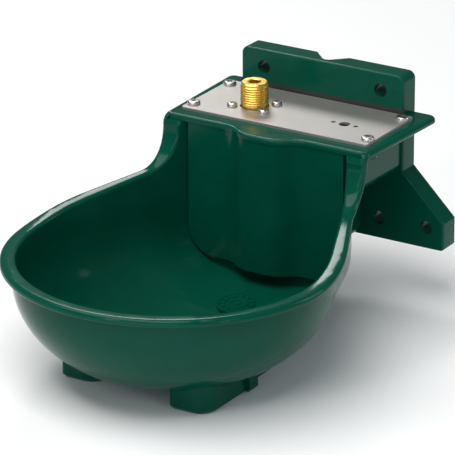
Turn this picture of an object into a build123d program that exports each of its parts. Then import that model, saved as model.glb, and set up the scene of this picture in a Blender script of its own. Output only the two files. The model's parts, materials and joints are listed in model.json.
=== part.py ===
"""Livestock drinking bowl: a moulded bowl with a float valve under a steel cover.

Millimetres, +Z up. The origin is on the wall plane (Y = 0), in the middle of the
square of four wall bolts. The bowl reaches out towards -Y, and X = 0 is the plane
that the moulding is symmetric about.
"""
import math
import os

from build123d import *

# Wall fixing
BOLT_PITCH = 100.0
WING_BOLT_SPAN = 180.0
BOLT_HOLE = 10.5
BOLT_BOSS = 21.0

# Back plate, as seen from the front
BACK_WIDTH = 139.0
BACK_THICK = 17.2
BACK_TOP = 63.6
BACK_SKIN = 5.0
BACK_CORNER = 5.5
BACK_EDGE_ROUND = 1.8
SHOULDER_Z = -9.6
WING_BEYOND_BOLT = 14.7
WING_TOP = -44.2
WING_BOTTOM = -66.5
WING_CORNER = 3.0
RIB = 3.4
RIB_PITCH = 31.0
GROOVE_MOUTH = 28.0
GROOVE_ROUND = 5.0
GROOVE_BAR = 35.0

# Moulding walls and the rolled rim
WALL = 3.8
RIM_WIDTH = 11.9
RIM_Z = -19.7
RIM_DROP = 5.6
RIM_ROUND = 3.3
RIM_UNDER_ROUND = 1.7
RIM_INNER_ROUND = 3.0
NECK_TAPER = 25.3
NECK_BEND = 60.0
RIM_REAR_CORNER = 6.0
RIM_RISE = 18.9
RIM_SWEEP = 260.0
POST_BEND = 29.5
POST_TOP_BEND = 8.4

# Basin and neck
BASIN_Y = -221.5
BASIN_RADIUS = 111.2
BASIN_DEPTH = 74.0
BASIN_Z = -31.0
BASIN_POWER = 2.14
NECK_END = -94.2
NECK_HALF_WIDTH = 67.4
NECK_FLOOR = -83.0
NECK_SLOPE = 6.3
NECK_POWER = 3.5
NECK_STATIONS = 11
SECTION_POINTS = 9
MARK_DIAMETER = 29.0
MARK_HEIGHT = 1.0
MARK_Y = -138.0

# Float chamber and its deck
DECK_Z = 33.0
DECK_FRONT_HALF = 85.6
DECK_REAR_HALF = 89.5
POST_Y = -102.7
CHAMBER_WIDTH = 135.0
CHAMBER_BOTTOM = -9.0
WELL_WIDTH = 69.0
WELL_BOTTOM = -65.0
CHAMBER_CORNER = 6.0

# Feet
FOOT_BOTTOM = -109.0
FOOT_PLACES = ((-62.7, -274.0), (32.2, -281.0))
FOOT_WIDTH = 33.0
FOOT_LENGTH = 51.0
FOOT_STEP = 3.0
FOOT_TAIL = 14.0
FOOT_HEEL = 15.0
FOOT_HEEL_RISE = 9.0
FOOT_CORNER = 15.0
FOOT_SMALL_CORNER = 4.0
FOOT_CHAMFER = 2.6

# Cover plate
COVER_THICK = 2.0
COVER_WIDTH = 157.5
COVER_FRONT = -87.3
COVER_REAR = -17.9
COVER_CORNER = 2.5
COVER_SCREW_X = 74.0
COVER_SCREW_FRONT = -77.2
COVER_SCREW_REAR = -26.6
INLET_HOLE_GAP = 0.35
PORT_X = 43.3
PORT_HOLE = 8.4
PORT_SCREW_HOLE = 3.6
PORT_SCREW_PITCH = 18.9

# Seal strip behind the cover
STRIP_HEIGHT = 3.2
STRIP_DEPTH = 3.0

# Screws and inserts
M5 = 5.0
M5_HEAD = 9.8
M5_HEAD_HEIGHT = 3.4
M5_LENGTH = 11.0
M4 = 4.0
M4_HEAD = 7.9
M4_HEAD_HEIGHT = 2.8
M4_LENGTH = 9.0
SCREW_GAP = 0.25
THREAD_GAP = 0.05
INSERT_OUTER = 7.0
INSERT_LENGTH = 9.5
INSERT_BOSS = 14.0
INSERT_BOSS_DROP = 11.0
HEAD_DOME_SHARE = 0.75
RECESS_SHARE = 0.56
RECESS_DEPTH = 1.6
RECESS_WIDTH = 1.1

# Float guard
GUARD_BAR_HALF = 81.6
GUARD_BAR_THICK = 4.2
GUARD_BAR_DEPTH = 17.4
GUARD_BAR_GAP = 0.4
GUARD_BAR_NOSE = 0.8
GUARD_SHELF_END = 1.0
GUARD_HALF_WIDTH = 66.0
GUARD_THICK = 3.5
GUARD_SEAT_GAP = 0.3
GUARD_BOTTOM = -73.5
GUARD_CORNER = 22.0
GUARD_BULGE = 10.8
GUARD_BULGE_FLAT = 28.0
GUARD_BULGE_WIDTH = 58.0
GUARD_BULGE_BEND = 22.0
GUARD_EDGE_ROUND = 2.2

# Inlet nipple, a G 1/2 pipe thread
VALVE_X = -33.5
VALVE_Y = -57.5
NIPPLE_THREAD = 20.955
NIPPLE_TOP = 54.0
NIPPLE_CHAMFER = 1.6
NIPPLE_BORE = 9.0
NIPPLE_RELIEF = 1.8
NIPPLE_RELIEF_DEPTH = 1.3
NIPPLE_COLLAR = 25.6
NIPPLE_COLLAR_HEIGHT = 4.0
NIPPLE_SPIGOT = 17.0
NIPPLE_SPIGOT_LENGTH = 8.8
SPIGOT_GAP = 0.1
SEAL_CORD = 1.7
SEAL_GAP = 0.05
SEAL_GROOVE = 2.4
STRAINER_OUTER = 12.0
STRAINER_GAP = 0.1
STRAINER_LENGTH = 14.0
STRAINER_WALL = 0.7
STRAINER_RIM = 0.9
STRAINER_RIM_OUTER = 16.6
STRAINER_SLOTS = 6
STRAINER_SLOT = 1.4
STRAINER_SLOT_LENGTH = 8.4
STRAINER_HEADROOM = 1.0

# Valve body
VALVE_SCREW_X = 13.5
VALVE_SCREW_Y = 9.5
VALVE_FLANGE_X = 37.0
VALVE_FLANGE_Y = 29.0
VALVE_FLANGE_THICK = 5.0
VALVE_FLANGE_CORNER = 4.5
VALVE_GASKET = 1.5
VALVE_OUTER = 24.0
VALVE_FLOOR = 2.6
VALVE_SKIRT_BOTTOM = 7.6
SEAT_FLANGE = 11.0
SEAT_FLANGE_THICK = 1.4
SEAT_STEM = 7.0
SEAT_DROP = 2.6
SEAT_ORIFICE = 3.0
SEAT_LIP_CHAMFER = 1.0
OUTLET_COUNT = 4
OUTLET_WIDTH = 7.0

# Plunger and lever
PLUNGER_LIFT = 3.3
PLUNGER_CLOSED_GAP = 0.1
PLUNGER_OUTER = 17.0
PLUNGER_HEIGHT = 4.4
PLUNGER_PAD = 8.0
PLUNGER_RUN_GAP = 0.06
PLUNGER_SEAL = 10.0
PLUNGER_SEAL_THICK = 2.2
PLUNGER_SEAL_PROUD = 0.6
LEVER_ARM = 10.5
FLOAT_SWING = 18.0
PIVOT_Z = 0.6
PIN = 4.0
PIN_GAP = 0.05
PIN_CHAMFER = 0.4
EAR_REAR = 8.0
EAR_FRONT = 4.5
EAR_THICK = 3.2
EAR_GAP = 0.3
EAR_BOTTOM = -4.0
HUB_WIDTH = 9.6
HUB_OUTER = 8.6
ARM_WIDTH = 8.0
ARM_THICK = 4.6
ARM_TAIL = 7.0
NOSE_RADIUS = 2.2
NOSE_PROUD = 0.7
CONTACT_GAP = 0.15
STOP_GAP = 0.25
STOP_THICK = 3.0
CLIP_OUTER = 8.0
CLIP_THICK = 0.9
CLIP_GAP = 0.25
CLIP_MOUTH = 2.0
PIN_TAIL = 1.0

# Float
FLOAT_X = 0.3
FLOAT_LENGTH = 58.0
FLOAT_WIDTH = 42.0
FLOAT_HEIGHT = 34.0
FLOAT_ROUND = 7.0
FLOAT_CENTRE_DROP = 33.6
STEM = 5.0
STEM_TAIL = 2.0
STEM_SOCKET = 12.0
STEM_BOSS = 11.0
STEM_BOSS_HEIGHT = 8.0
NUT_FLATS = 8.0
NUT_HEIGHT = 3.6

# SPAN is longer than the whole bowl, DRILL longer than any hole; cuts and joins of
# two shapes reach MARGIN past each other
SPAN = 400.0
DRILL = 100.0
MARGIN = 1.0
TOUCH = 0.01
WING_WIDTH = WING_BOLT_SPAN + 2 * WING_BEYOND_BOLT
RIM_RADIUS = BASIN_RADIUS + RIM_WIDTH
COVER_TOP = DECK_Z + COVER_THICK
BACK_FRONT = -BACK_THICK
GUARD_SHELF = DECK_Z - GUARD_BAR_THICK
GUARD_FRONT = NECK_END - GUARD_SEAT_GAP - GUARD_THICK
GUARD_BAR_FRONT = GUARD_FRONT - GUARD_BAR_NOSE
GUARD_BAR_REAR = GUARD_BAR_FRONT + GUARD_BAR_DEPTH
FLANGE_TOP = DECK_Z - VALVE_GASKET
FLANGE_BOTTOM = FLANGE_TOP - VALVE_FLANGE_THICK
COLLAR_BOTTOM = DECK_Z - NIPPLE_COLLAR_HEIGHT
SPIGOT_BOTTOM = COLLAR_BOTTOM - NIPPLE_SPIGOT_LENGTH
SOCKET = NIPPLE_SPIGOT + 2 * SPIGOT_GAP
SOCKET_FLOOR = SPIGOT_BOTTOM - STRAINER_RIM - SPIGOT_GAP
VALVE_CEILING = SOCKET_FLOOR - VALVE_FLOOR
SEAT_Z = VALVE_CEILING - SEAT_DROP
SEAL_TOP = SEAT_Z - PLUNGER_LIFT - PLUNGER_CLOSED_GAP
PIVOT_X = VALVE_X - LEVER_ARM
HALF_SWING = math.radians(FLOAT_SWING / 2)
NOSE_HEIGHT = ARM_THICK / 2 + NOSE_PROUD - NOSE_RADIUS
NOSE_TOP = (PIVOT_Z - LEVER_ARM * math.sin(HALF_SWING)
            + NOSE_HEIGHT * math.cos(HALF_SWING) + NOSE_RADIUS)
STOP_Z = (PIVOT_Z + ARM_TAIL * math.sin(HALF_SWING)
          + ARM_THICK / 2 * math.cos(HALF_SWING) + STOP_GAP)


def block(x0, x1, y0, y1, z0, z1):
    """A box between two corners."""
    middle = Pos((x0 + x1) / 2, (y0 + y1) / 2, (z0 + z1) / 2)
    return middle * Box(x1 - x0, y1 - y0, z1 - z0)


def post(x, y, diameter, z0, z1):
    """An upright cylinder between two heights."""
    return Pos(x, y, (z0 + z1) / 2) * Cylinder(diameter / 2, z1 - z0)


def rod_y(x, z, diameter, y0, y1):
    """A cylinder along Y between two places."""
    return Pos(x, (y0 + y1) / 2, z) * Rot(90, 0, 0) * Cylinder(diameter / 2, y1 - y0)


def rounded_edges(corners, closed=True):
    """Lines through corners given as (x, y, radius), with an arc round each corner."""
    count = len(corners)
    edges = []
    ends = []
    for index, (x, y, radius) in enumerate(corners):
        here = Vector(x, y)
        if radius <= 0 or (not closed and index in (0, count - 1)):
            ends.append((here, here))
            continue
        before = (Vector(*corners[index - 1][:2]) - here).normalized()
        after = (Vector(*corners[(index + 1) % count][:2]) - here).normalized()
        half_angle = math.radians(before.get_angle(after)) / 2
        reach = radius / math.tan(half_angle)
        middle = here + (before + after).normalized() * (radius / math.sin(half_angle) - radius)
        start, end = here + before * reach, here + after * reach
        edges.append(ThreePointArc(start, middle, end))
        ends.append((start, end))
    for index in range(count if closed else count - 1):
        start, end = ends[index][1], ends[(index + 1) % count][0]
        if (end - start).length > 1e-6:
            edges.append(Line(start, end))
    return edges


def rounded_face(corners):
    """A flat face inside corners given as (x, y, radius)."""
    return make_face(Curve() + rounded_edges(corners))


def both_sides(corners):
    """The right-hand corners of an outline and their twins, as one closed round."""
    return corners + [(-x, y, radius) for x, y, radius in reversed(corners)]


def mirrored(shape):
    """The shape's twin on the other side of X = 0."""
    return mirror(shape, Plane.YZ)


def plan_region(inset):
    """The rim's outline from above, moved inwards: a circle, two tapers and a deck."""
    radius = RIM_RADIUS - inset
    side = DECK_FRONT_HALF - inset
    taper = math.radians(NECK_TAPER)
    touch_x = radius * math.cos(taper)
    touch_y = BASIN_Y + radius * math.sin(taper)
    bend_y = touch_y + (touch_x - side) / math.tan(taper)
    right = [(touch_x, touch_y, 0), (side, bend_y, NECK_BEND + inset),
             (DECK_REAR_HALF - inset, -inset, RIM_REAR_CORNER - inset)]
    edges = rounded_edges(both_sides(right), closed=False)
    edges.append(ThreePointArc((touch_x, touch_y), (0, BASIN_Y - radius), (-touch_x, touch_y)))
    return make_face(Curve() + edges)


def below_rim(depth):
    """All the space under the rim's side profile, once it is moved inwards."""
    slope = math.atan2(RIM_RISE, POST_Y - BASIN_Y)
    rise_y = BASIN_Y + depth * math.tan(slope / 2)
    post_y = POST_Y + depth
    foot_z = RIM_Z + (post_y - BASIN_Y) * math.tan(slope) - depth / math.cos(slope)
    region = rounded_face([
        (-SPAN, RIM_Z - depth, 0), (rise_y, RIM_Z - depth, RIM_SWEEP + depth),
        (post_y, foot_z, POST_BEND + depth), (post_y, DECK_Z - depth, POST_TOP_BEND - depth),
        (SPAN, DECK_Z - depth, 0), (SPAN, -SPAN, 0), (-SPAN, -SPAN, 0)])
    return extrude(Plane.YZ * region, amount=SPAN, both=True)


def neck_half_width(y):
    """Inside half width: round the basin's circle, then straight to the neck's end."""
    run = NECK_END - BASIN_Y
    reach = math.hypot(NECK_HALF_WIDTH, run)
    touch = math.atan2(run, NECK_HALF_WIDTH) - math.acos(BASIN_RADIUS / reach)
    if y - BASIN_Y < BASIN_RADIUS * math.sin(touch):
        return math.sqrt(BASIN_RADIUS ** 2 - (y - BASIN_Y) ** 2)
    return NECK_HALF_WIDTH + (NECK_END - y) * math.tan(touch)


def neck_depth(y):
    """Inside depth below the basin's shoulder: the bowl's own floor or the neck's."""
    across = min(abs(y - BASIN_Y) / BASIN_RADIUS, 1.0)
    bowl = BASIN_DEPTH * (1 - across ** BASIN_POWER) ** (1 / BASIN_POWER)
    floor = BASIN_Z - NECK_FLOOR + (NECK_END - y) * math.tan(math.radians(NECK_SLOPE))
    return max(bowl, floor)


def neck_power(y):
    """How square the cross-section is: round in the basin, boxy at the guard."""
    share = (y - BASIN_Y) / (NECK_END - BASIN_Y)
    return BASIN_POWER + (NECK_POWER - BASIN_POWER) * share ** 2


def section_points(half_width, depth, power):
    """A quarter of the cross-section, from its widest point down to its lowest."""
    points = []
    for index in range(SECTION_POINTS):
        angle = math.pi / 2 * index / (SECTION_POINTS - 1)
        reach = (math.cos(angle) / half_width) ** power + (math.sin(angle) / depth) ** power
        reach = reach ** (-1 / power)
        points.append((reach * math.cos(angle), BASIN_Z - reach * math.sin(angle)))
    return points


def neck_station(index):
    """Where along the neck a cross-section stands, closer together near both ends."""
    share = (1 - math.cos(math.pi * index / (NECK_STATIONS - 1))) / 2
    return BASIN_Y + (NECK_END - BASIN_Y) * share


def half_section(half_width, depth, power):
    """The right half of a cross-section, from the middle line out to its side wall."""
    quarter = section_points(half_width, depth, power)
    top = DECK_Z + WALL
    return make_face(Curve() + [
        Line((0, top), (half_width, top)),
        Line((half_width, top), (half_width, BASIN_Z)),
        Spline(*quarter, tangents=((0, -1), (-1, 0))),
        Line((0, BASIN_Z - depth), (0, top)),
    ])


def neck_section(y, wall):
    """Half of the neck's cross-section at y, grown by wall on every side."""
    plane = Plane(origin=(0, y, 0), x_dir=(1, 0, 0), z_dir=(0, -1, 0))
    half_width = neck_half_width(y) + wall
    return plane * half_section(half_width, neck_depth(y) + wall, neck_power(y))


def basin_form(wall, behind):
    """Basin and neck as one form, grown by wall, with a narrower end behind the neck."""
    axis = Axis((0, BASIN_Y, 0), (0, 0, 1))
    front = revolve(neck_section(BASIN_Y, wall), axis, -90)
    neck = loft([neck_section(neck_station(index), wall) for index in range(NECK_STATIONS)])
    half = front + neck
    if behind > 0:
        half += loft([neck_section(NECK_END, wall), neck_section(NECK_END + behind, wall / 4)])
    return half + mirrored(half)


def chamber_form(inset):
    """The float chamber: a wide box at the top with a narrow well under its middle."""
    half = CHAMBER_WIDTH / 2 - inset
    well = WELL_WIDTH / 2 - inset
    lowest = WELL_BOTTOM + inset
    shelf = CHAMBER_BOTTOM + inset
    front = NECK_END - inset
    corner = CHAMBER_CORNER - inset
    region = rounded_face(both_sides([
        (well, lowest, corner), (well, shelf, 0), (half, shelf, corner),
        (half, DECK_Z + inset, 0)]))
    plane = Plane(origin=(0, front, 0), x_dir=(1, 0, 0), z_dir=(0, -1, 0))
    return extrude(plane * region, amount=front - BACK_FRONT)


def back_outline():
    """The back plate from the front, with its two wings."""
    half = BACK_WIDTH / 2
    wing = WING_WIDTH / 2
    return rounded_face(both_sides([
        (wing, WING_BOTTOM, WING_CORNER), (wing, WING_TOP, WING_CORNER),
        (half, SHOULDER_Z, 0), (half, BACK_TOP, BACK_CORNER)]))


def on_wall(region, depth):
    """Extrude a front-view region from the wall plane towards the bowl."""
    plane = Plane(origin=(0, 0, 0), x_dir=(1, 0, 0), z_dir=(0, -1, 0))
    return extrude(plane * region, amount=depth)


def bolt_places():
    """The wall bolts: a square of four, and one more in each wing."""
    half = BOLT_PITCH / 2
    square = [(x, z) for x in (-half, half) for z in (-half, half)]
    return square + [(x, -half) for x in (-WING_BOLT_SPAN / 2, WING_BOLT_SPAN / 2)]


def back_pockets():
    """Hollows in the back plate's rear, between its ribs, bosses and groove bar."""
    region = offset(back_outline(), amount=-BACK_SKIN)
    tall = BACK_TOP - WING_BOTTOM
    middle_z = (BACK_TOP + WING_BOTTOM) / 2
    region -= Pos(0, middle_z) * Rectangle(GROOVE_BAR, tall)
    for row in range(int(tall / RIB_PITCH)):
        region -= Pos(0, WING_BOTTOM + (row + 1) * RIB_PITCH) * Rectangle(WING_WIDTH, RIB)
    columns = [GROOVE_BAR / 2 + RIB_PITCH * step for step in (1, 2)]
    for x in columns + [-x for x in columns]:
        region -= Pos(x, middle_z) * Rectangle(RIB, tall)
    for x, z in bolt_places():
        region -= Pos(x, z) * Circle(BOLT_BOSS / 2)
    return on_wall(region, BACK_THICK - BACK_SKIN)


def post_groove():
    """The upright V groove in the rear face that seats on a round pipe or post."""
    half = GROOVE_MOUTH / 2
    region = rounded_face([(-half - MARGIN, MARGIN, 0), (0, -half, GROOVE_ROUND),
                           (half + MARGIN, MARGIN, 0)])
    tall = BACK_TOP - WING_BOTTOM
    return Pos(0, 0, WING_BOTTOM - MARGIN) * extrude(region, amount=tall + 2 * MARGIN)


def back_plate():
    """Thick plate with wings, rounded front edges and ribs on its rear."""
    plate = on_wall(back_outline(), BACK_THICK)
    plate = fillet(plate.faces().sort_by(Axis.Y)[0].edges(), BACK_EDGE_ROUND)
    return plate - back_pockets()


def foot(left_x, front):
    """One moulded foot, hollow from below, and the hollow on its own."""
    right_x = left_x + FOOT_WIDTH
    step = front + FOOT_LENGTH
    tail = step + FOOT_TAIL
    region = rounded_face([
        (left_x, front, FOOT_SMALL_CORNER), (right_x, front, FOOT_CORNER),
        (right_x, step, 0), (right_x + FOOT_STEP, step, 0),
        (right_x + FOOT_STEP, tail, FOOT_SMALL_CORNER),
        (left_x + FOOT_STEP, tail, FOOT_SMALL_CORNER),
        (left_x + FOOT_STEP, step, 0), (left_x, step, 0)])
    tall = BASIN_Z - FOOT_BOTTOM
    solid = Pos(0, 0, FOOT_BOTTOM) * extrude(region, amount=tall)
    solid = chamfer(solid.faces().sort_by(Axis.Z)[0].edges(), FOOT_CHAMFER)
    heel_left, heel_right = left_x + FOOT_STEP, right_x + FOOT_STEP
    heel_z = FOOT_BOTTOM + FOOT_HEEL_RISE
    solid += block(heel_left, heel_right, tail - 2 * WALL, tail + FOOT_HEEL, heel_z, BASIN_Z)
    pocket_region = offset(region, amount=-WALL)
    rib_y = front + FOOT_LENGTH / 2
    for y in (rib_y, step):
        pocket_region -= Pos(right_x, y) * Rectangle(FOOT_WIDTH * 2, WALL)
    pocket = Pos(0, 0, FOOT_BOTTOM - MARGIN) * extrude(pocket_region, amount=tall)
    pocket += block(heel_left + WALL, heel_right - WALL, tail, tail + FOOT_HEEL - WALL,
                    FOOT_BOTTOM, BASIN_Z)
    return solid, pocket


def cover_screw_places():
    """The four corner screws of the cover."""
    rows = (COVER_SCREW_FRONT, COVER_SCREW_REAR)
    return [(x, y) for x in (-COVER_SCREW_X, COVER_SCREW_X) for y in rows]


def valve_screw_places():
    """The four screws that hang the valve under the cover."""
    return [(VALVE_X + sx * VALVE_SCREW_X, VALVE_Y + sy * VALVE_SCREW_Y)
            for sx in (-1, 1) for sy in (-1, 1)]


def rim_edges(skin, depth):
    """The edges where the rim's outline meets its side profile at a given depth."""
    outline = plan_region(0).face().outer_wire()
    profile = below_rim(depth).shell()
    picked = []
    for edge in skin.edges():
        middle = edge.position_at(0.5)
        on_outline = outline.distance_to(Vector(middle.X, middle.Y, 0)) < TOUCH
        if on_outline and profile.distance_to(middle) < TOUCH:
            picked.append(edge)
    return picked


def rolled_rim(outer_form):
    """Deck and rim in one: a skin over the whole outline with a lip that turns down."""
    skin = extrude(plan_region(0), amount=SPAN, both=True) & (below_rim(0) - below_rim(RIM_DROP))
    skin = fillet(rim_edges(skin, 0), RIM_ROUND)
    skin = fillet(rim_edges(skin, RIM_DROP), RIM_UNDER_ROUND)
    hollow = extrude(plan_region(WALL), amount=SPAN, both=True)
    hollow &= below_rim(WALL) - below_rim(RIM_DROP + MARGIN)
    return skin - (hollow - outer_form)


def guard_rebate():
    """The step in the deck's front edge that the guard's bar lies in."""
    half = GUARD_BAR_HALF + GUARD_BAR_GAP
    rear = GUARD_BAR_REAR + GUARD_BAR_GAP
    return block(-half, half, POST_Y - WALL, rear, GUARD_SHELF, DECK_Z + WALL)


def floor_mark():
    """A plain round pad on the neck's floor."""
    slope = Rot(NECK_SLOPE, 0, 0)
    floor_z = BASIN_Z - neck_depth(MARK_Y)
    return Pos(0, MARK_Y, floor_z) * slope * Cylinder(MARK_DIAMETER / 2, 2 * MARK_HEIGHT)


def bowl_body():
    """The whole green moulding: basin, neck, chamber, rim, back plate and feet."""
    outer = basin_form(WALL, WALL) & below_rim(WALL / 2)
    outer += chamber_form(0)
    body = outer + rolled_rim(outer)
    shelf_half = GUARD_BAR_HALF + GUARD_BAR_GAP + GUARD_SHELF_END
    body += block(-shelf_half, shelf_half, POST_Y + WALL / 2, GUARD_BAR_REAR + WALL,
                  GUARD_SHELF - WALL, DECK_Z - WALL / 2)
    for left_x, front in FOOT_PLACES:
        solid, pocket = foot(left_x, front)
        body += solid - (pocket - basin_form(WALL, 0))
    for x, y in cover_screw_places():
        body += post(x, y, INSERT_BOSS, DECK_Z - INSERT_BOSS_DROP, DECK_Z - WALL / 2)
    body += back_plate()
    inner = basin_form(0, 0)
    body -= inner
    body -= chamber_form(WALL)
    rim_top = below_rim(0).shell()
    wall_face = inner.shell()
    lip = [edge for edge in body.edges() if edge.position_at(0.5).Y < POST_Y + TOUCH
           and rim_top.distance_to(edge.position_at(0.5)) < TOUCH
           and wall_face.distance_to(edge.position_at(0.5)) < TOUCH]
    body = fillet(lip, RIM_INNER_ROUND)
    body -= post_groove()
    body -= guard_rebate()
    for x, y in cover_screw_places():
        body -= post(x, y, INSERT_OUTER, DECK_Z - DRILL, DECK_Z + WALL)
    for x, z in bolt_places():
        body -= rod_y(x, z, BOLT_HOLE, -BACK_THICK - MARGIN, MARGIN)
    half = BACK_WIDTH / 2 + MARGIN
    body -= block(-half, half, BACK_FRONT - MARGIN, BACK_FRONT + STRIP_DEPTH,
                  COVER_TOP, COVER_TOP + STRIP_HEIGHT)
    return body + floor_mark()


def guard_path(front, grow):
    """Right-hand corners of the guard's face from above; grow is the way into the wall."""
    top = GUARD_BULGE_FLAT / 2
    root = GUARD_BULGE_WIDTH / 2
    lean = math.atan2(GUARD_BULGE, root - top)
    shift = grow * math.tan(lean / 2)
    return [(top - shift, front - GUARD_BULGE + grow, GUARD_BULGE_BEND - grow),
            (root - shift, front + grow, GUARD_BULGE_BEND + grow)]


def float_guard():
    """The panel that hangs in front of the float: a bar on top and a bulged skirt."""
    half = GUARD_BAR_HALF
    nose = guard_path(GUARD_BAR_FRONT, 0)
    bar = rounded_face(both_sides(nose + [(half, GUARD_BAR_FRONT, 0),
                                          (half, GUARD_BAR_REAR, 0)]))
    guard = Pos(0, 0, GUARD_SHELF) * extrude(bar, amount=GUARD_BAR_THICK)
    front_edges = [edge for edge in guard.edges().filter_by_position(
        Axis.Z, DECK_Z - TOUCH, DECK_Z + TOUCH) if edge.position_at(0.5).Y < GUARD_BAR_FRONT + TOUCH]
    guard = fillet(front_edges, GUARD_EDGE_ROUND)
    half = GUARD_HALF_WIDTH
    front = guard_path(GUARD_FRONT, 0) + [(half, GUARD_FRONT, 0)]
    rear = [(half, GUARD_FRONT + GUARD_THICK, 0)] + guard_path(GUARD_FRONT, GUARD_THICK)[::-1]
    right = front + rear
    skirt = rounded_face([(-x, y, r) for x, y, r in front[::-1]] + right
                         + [(-x, y, r) for x, y, r in rear[::-1]])
    skirt = Pos(0, 0, GUARD_BOTTOM) * extrude(skirt, amount=GUARD_SHELF + MARGIN - GUARD_BOTTOM)
    shape = rounded_face(both_sides([(half, GUARD_BOTTOM, GUARD_CORNER), (half, DECK_Z, 0)]))
    plane = Plane(origin=(0, GUARD_BAR_REAR, 0), x_dir=(1, 0, 0), z_dir=(0, -1, 0))
    return guard + (skirt & extrude(plane * shape, amount=DRILL))


def cover_plate():
    """The steel cover with holes for the inlet, its screws and the spare port."""
    half = COVER_WIDTH / 2
    sheet = rounded_face([
        (-half, COVER_FRONT, COVER_CORNER), (half, COVER_FRONT, COVER_CORNER),
        (half, COVER_REAR, COVER_CORNER), (-half, COVER_REAR, COVER_CORNER)])
    sheet -= Pos(VALVE_X, VALVE_Y) * Circle(NIPPLE_THREAD / 2 + INLET_HOLE_GAP)
    for x, y in cover_screw_places():
        sheet -= Pos(x, y) * Circle(M5 / 2 + SCREW_GAP)
    for x, y in valve_screw_places():
        sheet -= Pos(x, y) * Circle(M4 / 2 + SCREW_GAP)
    sheet -= Pos(PORT_X, VALVE_Y) * Circle(PORT_HOLE / 2)
    for side in (-1, 1):
        x = PORT_X + side * PORT_SCREW_PITCH / 2
        sheet -= Pos(x, VALVE_Y) * Circle(PORT_SCREW_HOLE / 2)
    return Pos(0, 0, DECK_Z) * extrude(sheet, amount=COVER_THICK)


def rear_seal_strip():
    """The dark rubber strip let into the back plate just above the cover."""
    half = BACK_WIDTH / 2
    return block(-half, half, BACK_FRONT, BACK_FRONT + STRIP_DEPTH,
                 COVER_TOP, COVER_TOP + STRIP_HEIGHT)


def pan_screw(x, y, shank, head, head_height, length):
    """A domed screw with a cross recess, its head standing on the cover."""
    top = COVER_TOP + head_height
    cap = post(x, y, head, COVER_TOP, top)
    cap = fillet(cap.edges().sort_by(Axis.Z)[-1], head_height * HEAD_DOME_SHARE)
    recess = Box(head * RECESS_SHARE, RECESS_WIDTH, 2 * RECESS_DEPTH)
    cap -= Pos(x, y, top) * (recess + Rot(0, 0, 90) * recess)
    return cap + post(x, y, shank, COVER_TOP - length, COVER_TOP)


def cover_screws():
    """Four M5 screws that hold the cover down."""
    return Compound([pan_screw(x, y, M5, M5_HEAD, M5_HEAD_HEIGHT, M5_LENGTH).solid()
                     for x, y in cover_screw_places()])


def cover_inserts():
    """Four brass inserts in the deck's bosses."""
    hole = M5 + 2 * THREAD_GAP
    return Compound([(post(x, y, INSERT_OUTER, DECK_Z - INSERT_LENGTH, DECK_Z)
                      - post(x, y, hole, DECK_Z - DRILL, DECK_Z + MARGIN)).solid()
                     for x, y in cover_screw_places()])


def turned(points):
    """A turned piece on the valve's axis, from (radius, height) points."""
    face = Plane.XZ * make_face(Polyline(*points, close=True))
    return Pos(VALVE_X, VALVE_Y, 0) * revolve(face, Axis.Z, 360)


def inlet_nipple():
    """Brass nipple: pipe thread, collar under the cover, spigot with a seal groove."""
    thread = NIPPLE_THREAD / 2
    relief_top = COVER_TOP + NIPPLE_RELIEF
    spigot = NIPPLE_SPIGOT / 2
    groove = spigot - SEAL_CORD
    groove_z = (COLLAR_BOTTOM + SPIGOT_BOTTOM) / 2
    counterbore = STRAINER_OUTER / 2 + STRAINER_GAP
    chamber_top = SPIGOT_BOTTOM + STRAINER_LENGTH + STRAINER_HEADROOM
    return turned([
        (NIPPLE_BORE / 2, chamber_top), (NIPPLE_BORE / 2, NIPPLE_TOP),
        (thread - NIPPLE_CHAMFER, NIPPLE_TOP), (thread, NIPPLE_TOP - NIPPLE_CHAMFER),
        (thread, relief_top), (thread - NIPPLE_RELIEF_DEPTH, relief_top),
        (thread - NIPPLE_RELIEF_DEPTH, DECK_Z), (NIPPLE_COLLAR / 2, DECK_Z),
        (NIPPLE_COLLAR / 2, COLLAR_BOTTOM), (spigot, COLLAR_BOTTOM),
        (spigot, groove_z + SEAL_GROOVE / 2), (groove, groove_z + SEAL_GROOVE / 2),
        (groove, groove_z - SEAL_GROOVE / 2), (spigot, groove_z - SEAL_GROOVE / 2),
        (spigot, SPIGOT_BOTTOM), (counterbore, SPIGOT_BOTTOM), (counterbore, chamber_top)])


def nipple_o_ring():
    """The rubber ring in the spigot's groove."""
    groove = NIPPLE_SPIGOT / 2 - SEAL_CORD
    groove_z = (COLLAR_BOTTOM + SPIGOT_BOTTOM) / 2
    ring = Torus(groove + SEAL_CORD / 2 + SEAL_GAP, SEAL_CORD / 2)
    return Pos(VALVE_X, VALVE_Y, groove_z) * ring


def inlet_strainer():
    """A slotted steel thimble inside the nipple, held by its rim."""
    outer = STRAINER_OUTER / 2
    inner = outer - STRAINER_WALL
    low = SOCKET_FLOOR + SPIGOT_GAP / 2
    rim_top = low + STRAINER_RIM
    top = rim_top + STRAINER_LENGTH
    cup = turned([
        (inner, low), (STRAINER_RIM_OUTER / 2, low), (STRAINER_RIM_OUTER / 2, rim_top),
        (outer, rim_top), (outer, top), (0, top), (0, top - STRAINER_WALL),
        (inner, top - STRAINER_WALL)])
    for turn in range(STRAINER_SLOTS // 2):
        slot = Rot(0, 0, turn * 360 / STRAINER_SLOTS) * Box(
            STRAINER_OUTER * 2, STRAINER_SLOT, STRAINER_SLOT_LENGTH)
        cup -= Pos(VALVE_X, VALVE_Y, (rim_top + top) / 2) * slot
    return cup


def valve_outline():
    """The flange and gasket outline under the cover, with its four screw holes."""
    x, y = VALVE_FLANGE_X / 2, VALVE_FLANGE_Y / 2
    corner = VALVE_FLANGE_CORNER
    return Pos(VALVE_X, VALVE_Y) * rounded_face(
        [(-x, -y, corner), (x, -y, corner), (x, y, corner), (-x, y, corner)])


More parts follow.
